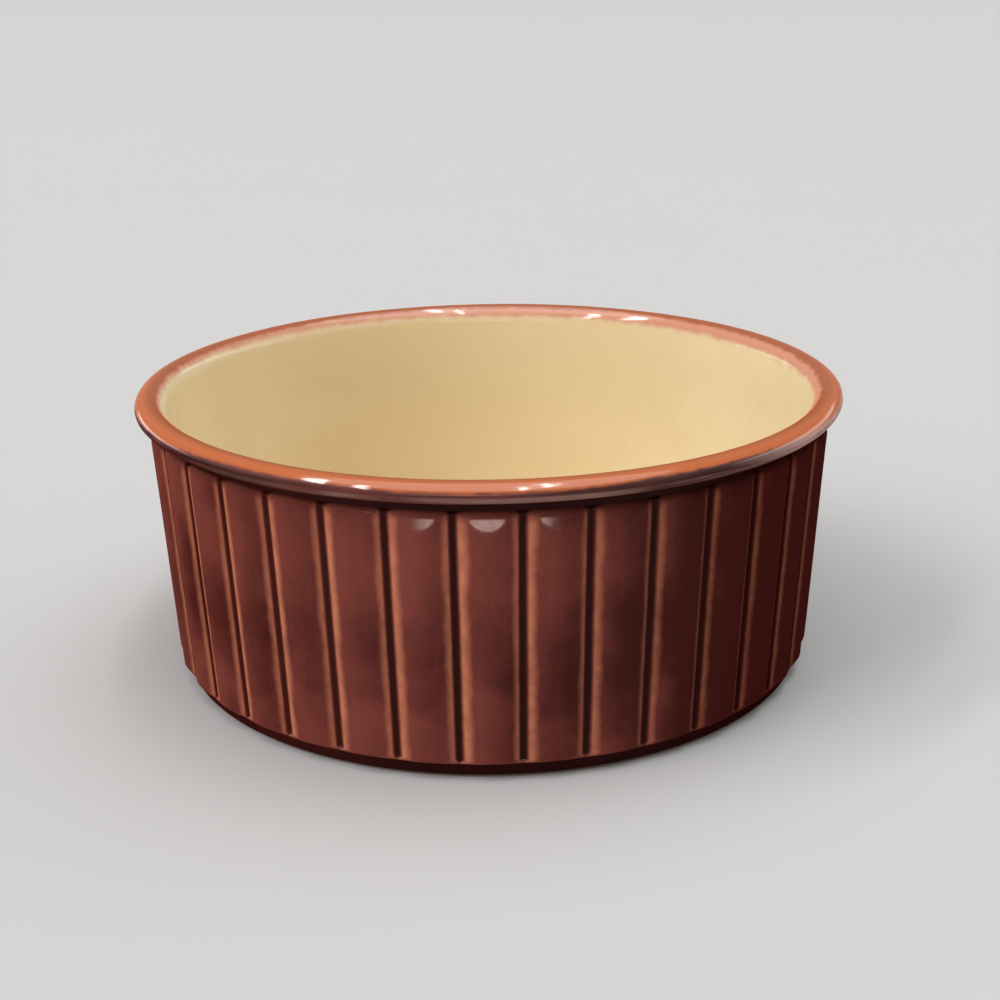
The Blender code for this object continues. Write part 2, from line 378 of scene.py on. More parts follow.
class Section:
    """Section of the dish: radii and rows of points at a level, the distance out from the clay."""

    def __init__(self, scene):
        self.clay = scene.dish_clay
        self.staves = scene.dish_staves
        self.face = COAT_HIGH.z - CLAY_HIGH.z
        self.bead_z = CLAY_HIGH.z - self.clay.bead_height / 2
        self.bead_radius = self.wall(CLAY_HIGH.z - self.clay.bead_height, 0.0) + self.clay.bead_standoff
        self.lip_end = CLAY_HIGH.z - self.clay.lip_drop
        taper = self.clay.thickness - self.clay.rim_thickness
        self.lean = atan2(self.lip_end * tan(self.clay.draft) + taper, self.lip_end)
        self.half_turn = pi / self.staves.count

    def wall(self, z, level):
        return self.clay.base_radius + z * tan(self.clay.draft) + level / cos(self.clay.draft)

    def inside(self, z, level):
        base = self.clay.base_radius - self.clay.thickness
        return base + z * tan(self.lean) - level / cos(self.lean)

    def foot_band(self, z, level):
        low = self.clay.base_radius - self.clay.foot_tuck
        high = self.wall(self.clay.foot_height, 0.0)
        return low + (high - low) * z / self.clay.foot_height + level

    def columns(self, radius, level):
        """Across one stave: angle, share of the relief and distance from the groove."""
        staves = self.staves
        foot = staves.groove / 2 + self.face - level
        width = self.half_turn * radius - foot
        places = [(foot * part, 0.0) for part in GROOVE_SHARES]
        for i in range(SWELL_STEPS + 1):
            part = (i / SWELL_STEPS) ** SWELL_CROWDING
            places.append((foot + width * part, sin(pi / 2 * part ** staves.swell)))
        left = [(s / radius - self.half_turn, side, s - foot) for s, side in places]
        # Right side: quicker growth of the edge mark narrows its rust, as painted shade
        right = [(-turn, side, SHADED_RIGHT_BREAK * edge) for turn, side, edge in left[-2::-1]]
        return left + right

    def stave_row(self, z, level):
        """Row across a stave at height z, with the lower end rounded and the upper one bevelled."""
        staves = self.staves
        inset = self.face - level
        above = z - staves.bottom - inset
        below = staves.top - inset - z
        lower = sin(acos(1 - min(max(above / staves.bottom_round, 0.0), 1.0)))
        lower_edge = LOWER_BREAK * above
        upper_edge = UPPER_BREAK * below + UPPER_START
        slope = tan(staves.bevel)
        start = staves.relief - slope * staves.bevel_reach
        fall = (start + staves.neck_cut) * max(1 - below / staves.top_round, 0.0) ** 3
        cap = start + slope * below - fall
        sill = SILL_RISE * max(1 - above / staves.sill, 0.0)
        base = self.wall(z, level)
        row = []
        for turn, side, edge in self.columns(base, level):
            swell = staves.relief * (side + (1 - side) * sill) * lower
            over = swell - cap
            out = swell - (over + hypot(over, CREASE)) / 2
            edge = rounded_edge(edge + SILL_BREAK * sill, lower_edge, LOWER_CORNER)
            edge = rounded_edge(edge, upper_edge, UPPER_CORNER)
            row.append(around(base + out, turn, z) + (edge, FAR_OUT, turn * base))
        return row

    def plain_row(self, radius, z, level, edge=0.0, run=FAR_OUT):
        """Round row with its points in line with those of the staves."""
        columns = self.columns(self.wall(z, level), level)
        return [around(radius, column[0], z) + (edge, run, 0.0) for column in columns]

    def turned_row(self, radius, z):
        """Round row with evenly spaced points."""
        turns = [self.half_turn * (2 * i / TURNED_STEPS - 1) for i in range(TURNED_STEPS + 1)]
        return [around(radius, turn, z) + (0.0, 0.0, 0.0) for turn in turns]

    def stave_rows(self, level, steps):
        """The staves from their lower ends to their upper ends."""
        staves = self.staves
        low = staves.bottom + self.face - level
        high = staves.top - self.face + level
        start = low + staves.bottom_round
        bevelled = BEVEL_ROOM * staves.bevel_reach
        span = high - bevelled - start
        turns = quarter(steps["lower"])[:-1]
        heights = [low + staves.bottom_round * (1 - cos(turn)) for turn in turns]
        heights += [start + span * (i / steps["wall"]) ** 2 for i in range(steps["wall"])]
        heights += [high - bevelled * (1 - i / steps["upper"]) for i in range(steps["upper"] + 1)]
        return [self.stave_row(z, level) for z in heights]

    def neck_rows(self, level, steps):
        """The hollow between the staves' upper ends and the bead's underside."""
        underside = self.bead_z - self.clay.bead_height / 2 - level
        start = self.staves.top + (underside - self.staves.top) * NECK_START
        neck = self.wall(start, level) - self.staves.neck_cut
        rows = []
        for turn in quarter(steps["fillet"]):
            radius = neck + (self.bead_radius - neck) * (1 - cos(turn))
            z = start + (underside - start) * sin(turn)
            rows.append(self.plain_row(radius, z, level, NECK_EDGE))
        return rows

    def rim_rows(self, level, steps):
        """The bead from its underside to its crest, then the lip down to the inside."""
        rows = []
        for i in range(1, steps["bead"] + 1):
            turn = -pi / 2 + pi * i / steps["bead"]
            radius = self.bead_radius + (self.clay.bead_reach + level) * cos(turn)
            z = self.bead_z + (self.clay.bead_height / 2 + level) * sin(turn)
            edge = BEAD_EDGE if i > 1 else 0.0
            run = self.bead_radius - radius - (COAT_HIGH.z - z)
            rows.append(self.plain_row(radius, z, level, edge, run))
        width = self.bead_radius - self.inside(self.lip_end, level)
        for turn in quarter(steps["lip"])[1:]:
            radius = self.bead_radius - width * sin(turn)
            z = self.lip_end + (self.clay.lip_drop + level) * cos(turn)
            run = self.bead_radius - radius + COAT_HIGH.z - z
            rows.append(self.plain_row(radius, z, level, BEAD_EDGE, run))
        return rows

    def outside_rows(self, level, steps):
        """The outside from the staves' lower ends, over the rim, to the lip's inside."""
        return self.stave_rows(level, steps) + self.neck_rows(level, steps) + self.rim_rows(level, steps)

    def coat_rows(self):
        """Closed section of the brown coat: up its face from the rolled edge, then down its back."""
        roll = self.face
        line = COAT_LOW.z / 2
        face = []
        for turn in quarter(FINE_STEPS["fillet"]):
            z = line + roll * (1 - cos(turn))
            level = SEAT + (self.face - SEAT) * sin(turn)
            edge = ROLL_EDGE * (1 - ROLL_FALL * sin(turn))
            face.append(self.plain_row(self.foot_band(z, level), z, self.face, edge))
        face += self.outside_rows(self.face, FINE_STEPS)
        end = LINER_HIGH.z
        face.append(self.plain_row(self.inside(end, self.face), end, self.face, BEAD_EDGE, -FAR_OUT))
        back = self.outside_rows(SEAT, COARSE_STEPS)
        back.append(self.plain_row(self.inside(end, SEAT), end, SEAT, BEAD_EDGE, -FAR_OUT))
        return face + back[::-1]

    def floor_rows(self, level, steps):
        """The inside from the wall's lower end, round the fillet, to the centre of the floor."""
        floor_z = LINER_LOW.z - COAT_GAP + level
        fillet = self.clay.floor_fillet
        centre_z = LINER_LOW.z - COAT_GAP + fillet
        centre_radius = self.inside(centre_z, 0.0) - fillet / cos(self.lean)
        rows = []
        for i in range(steps["floor"] + 1):
            turn = self.lean + (pi / 2 - self.lean) * i / steps["floor"]
            radius = centre_radius + (fillet - level) * cos(turn)
            rows.append(self.turned_row(radius, centre_z - (fillet - level) * sin(turn)))
        for i in range(1, steps["floor"]):
            rows.append(self.turned_row(centre_radius * (1 - i / steps["floor"]), floor_z))
        return rows + [[on_axis(floor_z)]]

    def liner_skin(self, level, steps):
        """One side of the cream coat, from its upper edge to the centre of the floor."""
        top = LINER_HIGH.z
        floor = self.floor_rows(level, steps)
        low = floor[0][0][2]
        heights = [top + (low - top) * i / steps["wall"] for i in range(steps["wall"])]
        return [self.turned_row(self.inside(z, level), z) for z in heights] + floor

    def liner_rows(self):
        """Section of the cream coat: its back upwards, then its face downwards."""
        return self.liner_skin(SEAT, COARSE_STEPS)[::-1] + self.liner_skin(self.face, FINE_STEPS)

    def clay_rows(self):
        """Section of the clay, from the underside's centre round to the floor's centre."""
        clay = self.clay
        outer = clay.base_radius - clay.foot_tuck
        inner = outer - clay.foot_edge - clay.foot_width
        recess_radius = inner - clay.foot_edge
        rows = [[on_axis(clay.recess)]]
        rows += [self.plain_row(recess_radius * part, clay.recess, 0.0) for part in RECESS_SHARES]
        for turn in quarter(FINE_STEPS["fillet"]):
            radius = inner - clay.foot_edge * (1 - sin(turn))
            rows.append(self.plain_row(radius, clay.foot_edge * (1 - sin(turn)) ** 2, 0.0))
        for turn in quarter(FINE_STEPS["fillet"]):
            z = clay.foot_edge * (1 - cos(turn))
            radius = self.foot_band(z, 0.0) - clay.foot_edge * (1 - sin(turn))
            rows.append(self.plain_row(radius, z, 0.0))
        rows += self.outside_rows(0.0, COARSE_STEPS)
        floor = self.floor_rows(0.0, COARSE_STEPS)
        for row in floor[:-1]:
            radius = -row[TURNED_STEPS // 2][1]
            rows.append(self.plain_row(radius, row[0][2], 0.0))
        return rows + floor[-1:]

    def disc_rows(self):
        """Section of the glaze in the recess: its face outwards to a rolled edge, then its back."""
        edge = DISC_HIGH.x
        low = DISC_LOW.z
        high = self.clay.recess - SEAT
        rows = [[on_axis(low)]]
        rows += [self.turned_row(edge * part, low) for part in DISC_SHARES]
        roll = high - low
        for turn in quarter(FINE_STEPS["fillet"]):
            rows.append(self.turned_row(edge - roll + roll * sin(turn), high - roll * cos(turn)))
        rows.append(self.turned_row(edge / 2, high))
        return rows + [[on_axis(high)]]


class Net:
    """Net of nodes: adds them to a tree, with a value or a link for each input that is named."""

    def __init__(self, tree):
        self.tree = tree

    def add(self, kind, inputs=(), **settings):
        node = self.tree.nodes.new(kind)
        for name, value in settings.items():
            setattr(node, name, value)
        for key, value in dict(inputs).items():
            self.feed(node.inputs[key], value)
        return node

    def feed(self, socket, value):
        if isinstance(value, bpy.types.NodeSocket):
            self.tree.links.new(value, socket)
        else:
            socket.default_value = value

    def math(self, operation, first, second=0.0):
        return self.add("ShaderNodeMath", {0: first, 1: second}, operation=operation).outputs[0]

    def minus(self, first, second):
        return self.math("SUBTRACT", first, second)

    def plus(self, *values):
        return reduce(lambda first, second: self.math("ADD", first, second), values)

    def times(self, *values):
        return reduce(lambda first, second: self.math("MULTIPLY", first, second), values)

    def vector(self, operation, first, second):
        node = self.add("ShaderNodeVectorMath", {0: first}, operation=operation)
        self.feed(node.inputs["Scale" if operation == "SCALE" else 1], second)
        return node.outputs[0]

    def ease(self, value, low, high, start=0.0, end=1.0):
        """Value that goes smoothly from start to end as the given one goes from low to high."""
        inputs = {"Value": value, "From Min": low, "From Max": high, "To Min": start, "To Max": end}
        return self.add("ShaderNodeMapRange", inputs, interpolation_type="SMOOTHSTEP").outputs[0]

    def overlap(self, *changes):
        """Product of changes, each a value and its range."""
        return self.times(*(self.ease(value, *span) for value, span in changes))

    def mix(self, factor, first, second):
        """Blend of two colours, whose sockets follow those for values and vectors."""
        return self.add("ShaderNodeMix", {0: factor, 6: first, 7: second}, data_type="RGBA").outputs[2]

    def noise(self, place, size, detail=2.0):
        """Soft noise whose features are about the given size."""
        inputs = {"Vector": place, "Scale": 1.0 / size, "Detail": detail, "Roughness": NOISE_ROUGHNESS}
        return self.add("ShaderNodeTexNoise", inputs).outputs[0]

    def jitter(self, place, size, detail=2.0, amount=1.0):
        """Soft noise about zero, times an amount."""
        return self.times(self.minus(self.noise(place, size, detail), 0.5), amount)

    def axes(self, place):
        """Distances to the right, to the back and up."""
        return self.add("ShaderNodeSeparateXYZ", {0: place}).outputs

    def mark(self, name):
        """Mark that the points carry."""
        return self.add("ShaderNodeAttribute", attribute_name=name).outputs["Fac"]


def new_group(name, inputs, outputs, kind="ShaderNodeTree"):
    """Node group with the named sockets: its net, its input sockets and its output sockets."""
    tree = bpy.data.node_groups.new(name, kind)
    for side, sockets in (("INPUT", inputs), ("OUTPUT", outputs)):
        for label, socket in sockets.items():
            tree.interface.new_socket(label, in_out=side, socket_type="NodeSocket" + socket)
    net = Net(tree)
    return net, net.add("NodeGroupInput").outputs, net.add("NodeGroupOutput").inputs


def made_once(name, make):
    """Node group of that name, made if it isn't there yet."""
    return bpy.data.node_groups.get(name) or make(name)


def ring_tree(name):
    """Geometry nodes that turn one stave's slice into the ring, and make it slightly uneven."""
    inputs = {
        "Slice": "Geometry", "Slices": "Int", "Weld": "Float", "Warp": "Float", "Warp size": "Float",
        "Ripple": "Float", "Ripple size": "Float", "Seed": "Float", "Still height": "Float",
        "Finish": "Material",
    }
    net, given, made = new_group(name, inputs, {"Ring": "Geometry"}, "GeometryNodeTree")
    step = net.math("DIVIDE", 2 * pi, given["Slices"])
    turn = net.times(net.add("GeometryNodeInputIndex").outputs[0], step)
    turns = net.add("ShaderNodeCombineXYZ", {2: turn}).outputs[0]
    spin = net.add("FunctionNodeEulerToRotation", {0: turns})
    points = net.add("GeometryNodePoints", {"Count": given["Slices"]})
    copies = net.add("GeometryNodeInstanceOnPoints", {
        "Points": points.outputs[0], "Instance": given["Slice"], "Rotation": spin.outputs[0],
    })
    whole = net.add("GeometryNodeRealizeInstances", {"Geometry": copies.outputs[0]})
    inputs = {"Geometry": whole.outputs[0], "Distance": given["Weld"]}
    welded = net.add("GeometryNodeMergeByDistance", inputs)
    place = net.add("GeometryNodeInputPosition").outputs[0]
    moves = []
    for amount, size in (("Warp", "Warp size"), ("Ripple", "Ripple size")):
        scale = net.math("DIVIDE", 1.0, given[size])
        inputs = {"Vector": place, "W": given["Seed"], "Scale": scale, "Detail": 1.0}
        field = net.add("ShaderNodeTexNoise", inputs, noise_dimensions="4D").outputs["Color"]
        centred = net.vector("SUBTRACT", field, (0.5, 0.5, 0.5))
        moves.append(net.vector("SCALE", centred, net.times(given[amount], 2.0)))
    free = net.ease(net.axes(place)[2], 0.0, given["Still height"])
    offset = net.vector("SCALE", net.vector("ADD", moves[0], moves[1]), free)
    moved = net.add("GeometryNodeSetPosition", {"Geometry": welded.outputs[0], "Offset": offset})
    smooth = net.add("GeometryNodeSetShadeSmooth", {"Geometry": moved.outputs[0]})
    inputs = {"Geometry": smooth.outputs[0], "Material": given["Finish"]}
    net.feed(made["Ring"], net.add("GeometryNodeSetMaterial", inputs).outputs[0])
    return net.tree


def slice_mesh(name, rows):
    """Mesh of one slice through its rows, in a loop unless they start and end on the axis."""
    starts = []
    points = []
    for row in rows:
        starts.append(len(points))
        points += row
    pairs = list(zip(range(len(rows)), range(1, len(rows))))
    if len(rows[0]) > 1:
        pairs.append((len(rows) - 1, 0))
    faces = []
    for lower, upper in pairs:
        a, b = starts[lower], starts[upper]
        for i in range(max(len(rows[lower]), len(rows[upper])) - 1):
            corners = [a + i, a + i + 1, b + i + 1, b + i]
            if len(rows[lower]) == 1:
                corners = [a, b + i + 1, b + i]
            elif len(rows[upper]) == 1:
                corners = [a + i, a + i + 1, b]
            faces.append(corners)
    mesh = bpy.data.meshes.new(name)
    mesh.from_pydata([point[:3] for point in points], [], faces)
    for i, mark in enumerate((EDGE_MARK, RUN_MARK, ACROSS_MARK), start=3):
        attribute = mesh.attributes.new(mark, "FLOAT", "POINT")
        attribute.data.foreach_set("value", [point[i] for point in points])
    return mesh


def make_piece(scene, name, rows, material, node):
    """Finished piece: a slice of rows, turned into a ring, that stands for a node of the frame."""
    glaze = scene.dish_glaze
    one_slice = slice_mesh(name, rows(Section(scene)))
    piece = bpy.data.objects.new(name, one_slice)
    scene.collection.objects.link(piece)
    modifier = piece.modifiers.new("Ring of slices", "NODES")
    modifier.node_group = made_once("Ring of slices", ring_tree)
    values = {
        "Slices": scene.dish_staves.count, "Weld": SAME_PLACE, "Warp": glaze.warp,
        "Warp size": glaze.warp_size, "Ripple": glaze.ripple, "Ripple size": glaze.ripple_size,
        "Seed": glaze.seed, "Still height": scene.dish_clay.foot_height, "Finish": material(scene),
    }
    for item in modifier.node_group.interface.items_tree:
        if item.in_out == "INPUT" and item.name in values:
            modifier[item.identifier] = values[item.name]
    depsgraph = bpy.context.evaluated_depsgraph_get()
    whole = bpy.data.meshes.new_from_object(
        piece.evaluated_get(depsgraph), preserve_all_data_layers=True, depsgraph=depsgraph
    )
    piece.modifiers.remove(modifier)
    piece.data = whole
    bpy.data.meshes.remove(one_slice)
    whole.name = name
    whole.set_sharp_from_angle(angle=SHARP_ANGLE)
    if len(whole.polygons) == 0:
        raise RuntimeError(f"{name} came out empty")
    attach(piece, BODY)
    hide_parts(node)
    return {"FINISHED"}


def specks_group(name):
    """Shader group: a mask of scattered round specks."""
    inputs = {
        "Place": "Vector", "Spacing": "Float", "Size": "Float", "Share": "Float", "Strength": "Float",
    }
    net, given, made = new_group(name, inputs, {"Specks": "Float"})
    scale = net.math("DIVIDE", 1.0, given["Spacing"])
    cells = net.add("ShaderNodeTexVoronoi", {"Vector": given["Place"], "Scale": scale})
    pick = net.add("ShaderNodeSeparateColor", {0: cells.outputs["Color"]}).outputs
    radius = net.times(net.math("DIVIDE", given["Size"], given["Spacing"]), pick[1])
    inside = net.math("DIVIDE", cells.outputs["Distance"], net.plus(radius, SPECK_LEAST))
    chosen = net.math("LESS_THAN", pick[0], given["Share"])
    net.feed(made["Specks"], net.times(net.ease(inside, *SPECK_EDGE), chosen, given["Strength"]))
    return net.tree


def skin_group(name):
    """Shader group: the height of a glaze's slow ripples and fine pits, and its uneven gloss."""
    inputs = {"Place": "Vector", "Gloss": "Float", "Dulling": "Float"}
    net, given, made = new_group(name, inputs, {"Height": "Float", "Roughness": "Float"})
    place = given["Place"]
    slow = net.noise(place, size=0.006, detail=1.0)
    pits = net.noise(place, size=0.0011, detail=1.0)
    net.feed(made["Height"], net.plus(slow, net.times(pits, PIT_DEPTH)))
    cloud = net.ease(net.noise(place, size=0.011, detail=3.0), *DULL_CLOUD)
    net.feed(made["Roughness"], net.plus(given["Gloss"], net.times(cloud, given["Dulling"])))
    return net.tree


def brown_group(name):
    """Shader group: brown glaze that thins to rust over edges and pools dark in hollows, with painted
    shade to the right, painted light on the pools to the left, and a painted dark reflection round the
    wall.
    """
    inputs = {
        "Place": "Vector", "Edge": "Float", "Across stave": "Float", "Face": "Color", "Shade": "Color",
        "Rust": "Color", "Pool": "Color",
    }
    net, given, made = new_group(name, inputs, {"Colour": "Color", "Pooled": "Float"})
    place = given["Place"]
    right, _, height = net.axes(place)
    cloud = net.noise(place, size=0.024, detail=3.0)
    streak = net.noise(net.vector("MULTIPLY", place, STREAK_STRETCH), size=0.0026)
    grain = net.jitter(place, size=0.0009, amount=GRAIN_WEIGHT)
    # Painted dark reflection: a band round the wall's middle height, mixed towards the dark brown
    level = net.plus(height, net.jitter(place, size=0.018, amount=REFLECTION_BAND_WANDER))
    band = net.times(net.overlap((level, REFLECTION_BAND_START), (level, REFLECTION_BAND_END)), REFLECTION_BAND_WEIGHT)
    # Clouds, streaks and grain are the glaze's own; the rest is painted shade and the painted reflection
    # band
    thick = net.plus(
        net.times(cloud, CLOUD_WEIGHT), net.times(streak, STREAK_WEIGHT), grain,
        net.ease(right, *SHADE_TO_RIGHT), net.ease(given["Across stave"], *SHADE_ACROSS_STAVE), band,
    )
    face = net.mix(net.ease(thick, *THICK_RANGE), given["Face"], given["Shade"])
    ragged = net.jitter(place, size=0.0022, detail=4.0)
    wander = net.jitter(place, size=0.010, detail=1.0, amount=RUST_WANDER)
    # Painted shade: rust narrower and fainter to the right and on a stave's right half
    edge = net.times(given["Edge"], net.ease(right, *RUST_SHADE_NARROWS))
    edge = net.plus(edge, net.times(ragged, RUST_RAGGED), wander)
    patches = net.noise(place, size=0.005, detail=4.0)
    rust = net.overlap(
        (given["Edge"], RUST_START), (edge, RUST_END), (height, RUST_LOWER_END), (height, RUST_UPPER_END),
        (patches, RUST_PATCHES), (right, RUST_SHADE_FADES), (given["Across stave"], RUST_SHADE_ACROSS),
    )
    broken = net.mix(rust, face, given["Rust"])
    pooled = net.ease(net.plus(given["Edge"], net.times(ragged, POOL_RAGGED)), *POOL_EDGE)
    # Painted light: the pools lighter to the left, mixed towards the dark brown
    pool = net.mix(net.ease(right, *POOL_LIT_LEFT), given["Pool"], given["Shade"])
    net.feed(made["Colour"], net.mix(pooled, broken, pool))
    net.feed(made["Pooled"], pooled)
    return net.tree


def cream_group(name):
    """Shader group: cream glaze with faint honey clouds, painted shade at the back, amber on the floor,
    and a few specks.
    """
    inputs = {"Place": "Vector", "Cream": "Color", "Honey": "Color", "Amber": "Color", "Iron": "Color"}
    net, given, made = new_group(name, inputs, {"Colour": "Color"})
    place = given["Place"]
    right, back, height = net.axes(place)
    cloud = net.noise(place, size=0.030, detail=4.0)
    grain = net.noise(place, size=0.0022)
    aside = net.math("ABSOLUTE", right)
    # Painted shade: more honey at the back, away from the sides
    behind = net.overlap((back, HONEY_SHADE_BACK), (aside, HONEY_SHADE_MIDDLE))
    thick = net.plus(cloud, behind, net.times(grain, HONEY_GRAIN))
    body = net.mix(net.ease(thick, *HONEY_RANGE), given["Cream"], given["Honey"])
    pooled = net.plus(net.ease(height, *AMBER_HEIGHT), net.times(cloud, AMBER_CLOUD))
    body = net.mix(pooled, body, given["Amber"])
    net.feed(made["Colour"], add_specks(net, place, body, given["Iron"], CREAM_SPECKS))
    return net.tree


def new_material(name):
    """Material with a Principled shader: its net, the shader's inputs and Object coordinates."""
    material = bpy.data.materials.new(name)
    material.use_nodes = True
    net = Net(material.node_tree)
    paint = material.node_tree.nodes["Principled BSDF"].inputs
    place = net.add("ShaderNodeTexCoord").outputs["Object"]
    return material, net, paint, place


def glaze_gloss(net, paint, place, gloss):
    """The glass skin that both glazes share, where gloss is how clear the glass is."""
    inputs = {"Place": place, "Gloss": SMOOTHEST, "Dulling": DULLING}
    skin = net.add("ShaderNodeGroup", inputs, node_tree=made_once("Glaze skin", skin_group)).outputs
    inputs = {"Height": skin["Height"], "Distance": GLAZE_BUMP, "Strength": 1.0}
    bump = net.add("ShaderNodeBump", inputs).outputs[0]
    net.feed(paint["Roughness"], skin["Roughness"])
    net.feed(paint["Normal"], bump)
    net.feed(paint["Coat Weight"], gloss)
    net.feed(paint["Coat Normal"], bump)
    for name, value in GLASS.items():
        paint[name].default_value = value


def add_specks(net, place, body, iron, specks):
    """The body's colour with iron specks in it."""
    group = made_once("Kiln specks", specks_group)
    mask = net.add("ShaderNodeGroup", {"Place": place, **specks}, node_tree=group).outputs[0]
    return net.mix(mask, body, iron)


def add_brown(net, glaze, place, edge, across):
    return net.add("ShaderNodeGroup", {
        "Place": place, "Edge": edge, "Across stave": across, "Face": glaze.face, "Shade": glaze.shade,
        "Rust": glaze.rust, "Pool": glaze.pool,
    }, node_tree=made_once("Brown glaze", brown_group)).outputs


def add_cream(net, glaze, place):
    return net.add("ShaderNodeGroup", {
        "Place": place, "Cream": glaze.cream, "Honey": glaze.honey, "Amber": glaze.amber,
        "Iron": glaze.iron,
    }, node_tree=made_once("Cream glaze", cream_group)).outputs[0]


def bead_colour(net, glaze, place, run, brown):
    """The brown, with painted shade and dark reflection under the bead and orange on its crest, and a
    painted pale reflection low on the bead.
    """
    right, _, height = net.axes(place)
    aside = net.math("ABSOLUTE", right)
    lines = net.noise(net.vector("MULTIPLY", place, LINE_STRETCH), size=0.0011)
    # Painted shade and dark reflection under the bead, darker at the sides
    under = net.overlap(
        (run, BEAD_START), (run, UNDER_SHADE_END), (aside, UNDER_SHADE_SIDES), (lines, UNDER_SHADE_LINES)
    )
    sag = net.minus(net.ease(aside, *SAG_MIDDLE), net.ease(aside, *SAG_SIDES))
    ragged = net.jitter(place, size=0.004, detail=3.0, amount=CREST_RAGGED)
    crest = net.ease(net.minus(net.plus(run, ragged), sag), *CREST_START)
    fall = net.minus(COAT_HIGH.z, height)
    patches = net.noise(place, size=0.03)
    # Painted reflection: a pale line low on the bead, and a sheen at its right end
    line = net.overlap(
        (fall, SHEEN_LINE_TOP), (fall, SHEEN_LINE_BOTTOM), (lines, SHEEN_LINE_STREAKS), (aside, SHEEN_LINE_SIDES),
        (patches, SHEEN_LINE_PATCHES),
    )
    right_sheen = net.overlap((right, SHEEN_RIGHT), (run, SHEEN_TOP), (lines, SHEEN_STREAKS))
    line = net.times(net.math("MAXIMUM", line, right_sheen), net.ease(run, *BEAD_START))
    tone = net.mix(under, brown, glaze.pool)
    tone = net.mix(crest, tone, glaze.crest)
    return net.mix(line, tone, glaze.painted_reflection)


def lip_colour(net, glaze, place, run, bead):
    """The bead's colour, and inside its crest the brown that runs out over the cream."""
    right, back, _ = net.axes(place)
    wavy = net.plus(run, net.jitter(place, size=0.004, detail=5.0, amount=LIP_WANDER))
    reach = net.minus(wavy, net.times(net.plus(right, back), DIP_TILT))
    # Painted shade: Chestnut on the lip's inner slope inside the crest
    tone = net.mix(net.ease(run, *CHESTNUT_SHADE_START), bead, glaze.chestnut_shade)
    tone = net.mix(net.ease(wavy, *BLUSH_START), tone, glaze.blush)
    tone = net.mix(net.ease(reach, *FRINGE_START), tone, glaze.fringe)
    return net.mix(net.ease(reach, *CREAM_START), tone, add_cream(net, glaze, place))


def coat_gloss(net, staves, place, run, stave, pooled):
    """How clear the brown coat's glass is: on the rim, in a patch on the staves at the front and back,
    and elsewhere hardly.
    """
    right, back, height = net.axes(place)
    aside = net.math("ABSOLUTE", right)
    near = net.overlap((back, DULL_NEAR), (run, DULL_LIP))
    inside = net.math("MAXIMUM", net.ease(run, *DULL_INSIDE), near)
    drop = net.minus(staves.top - staves.top_round, height)
    drop = net.math("DIVIDE", drop, staves.patch_height)
    across = net.math("DIVIDE", stave, staves.patch_width / 2)
    outward = net.plus(net.math("POWER", across, 2.0), net.math("POWER", drop, 2.0))
    mottle = net.noise(place, size=0.0016, detail=3.0)
    patch = net.overlap(
        (outward, PATCH_EDGE), (drop, PATCH_TOP), (mottle, PATCH_MOTTLE), (aside, PATCH_SIDES)
    )
    clear = net.minus(net.math("MAXIMUM", net.ease(run, *CLEAR_RIM), patch), inside)
    clear = net.times(clear, net.minus(1.0, pooled))
    return net.plus(clear, net.ease(aside, *CLEAR_WALL))


def brown_material(scene):
    """Brown glaze on the staves, orange on the rim's crest, and running out over the cream inside."""
    glaze = scene.dish_glaze
    material, net, paint, place = new_material("brown_coat")
    edge = net.mark(EDGE_MARK)
    stave = net.mark(ACROSS_MARK)
    run = net.mark(RUN_MARK)
    brown = add_brown(net, glaze, place, edge, stave)
    bead = bead_colour(net, glaze, place, run, brown["Colour"])
    net.feed(paint["Base Color"], lip_colour(net, glaze, place, run, bead))
    gloss = coat_gloss(net, scene.dish_staves, place, run, stave, brown["Pooled"])
    glaze_gloss(net, paint, place, gloss)
    return material


def cream_material(scene):
    """Cream glaze."""
    material, net, paint, place = new_material("cream_liner")
    net.feed(paint["Base Color"], add_cream(net, scene.dish_glaze, place))
    glaze_gloss(net, paint, place, CLEAR_LINER)
    return material


def underside_material(scene):
    """Brown glaze in the recess, thin towards the ring and clouded in the middle."""
    material, net, paint, place = new_material("underside_brown")
    right, back, _ = net.axes(place)
    squares = net.plus(net.math("POWER", right, 2.0), net.math("POWER", back, 2.0))
    edge = net.minus(DISC_HIGH.x, net.math("SQRT", squares))
    brown = add_brown(net, scene.dish_glaze, place, edge, 0.0)
    net.feed(paint["Base Color"], brown["Colour"])
    glaze_gloss(net, paint, place, CLEAR_UNDERSIDE)
    return material


def clay_material(scene):
    """Bare stoneware: buff, sandy, with iron specks."""
    glaze = scene.dish_glaze
    material, net, paint, place = new_material("bare_clay")
    cloud = net.ease(net.noise(place, size=0.012, detail=4.0), *CLAY_CLOUD)
    sand = net.noise(place, size=0.0007, detail=3.0)
    tone = net.plus(net.times(cloud, CLAY_CLOUD_WEIGHT), net.times(sand, CLAY_SAND_WEIGHT))
    shaded = net.mix(net.ease(tone, *CLAY_TONE), glaze.clay, glaze.iron)
    net.feed(paint["Base Color"], add_specks(net, place, shaded, glaze.iron, CLAY_SPECKS))
    net.feed(paint["Roughness"], net.ease(sand, *CLAY_ROUGHNESS))
    bump = net.add("ShaderNodeBump", {"Height": sand, "Distance": CLAY_BUMP, "Strength": 0.8})
    net.feed(paint["Normal"], bump.outputs[0])
    return material


def floor_material(scene):
    """Plain pale floor with a faint tone to it."""
    material, net, paint, place = new_material("studio_floor")
    tone = net.ease(net.noise(place, size=0.25, detail=3.0), *FLOOR_TONE)
    net.feed(paint["Base Color"], net.mix(tone, scene.dish_studio.floor, FLOOR_GREY))
    paint["Roughness"].default_value = 0.9
    paint["Specular IOR Level"].default_value = 0.1
    return material


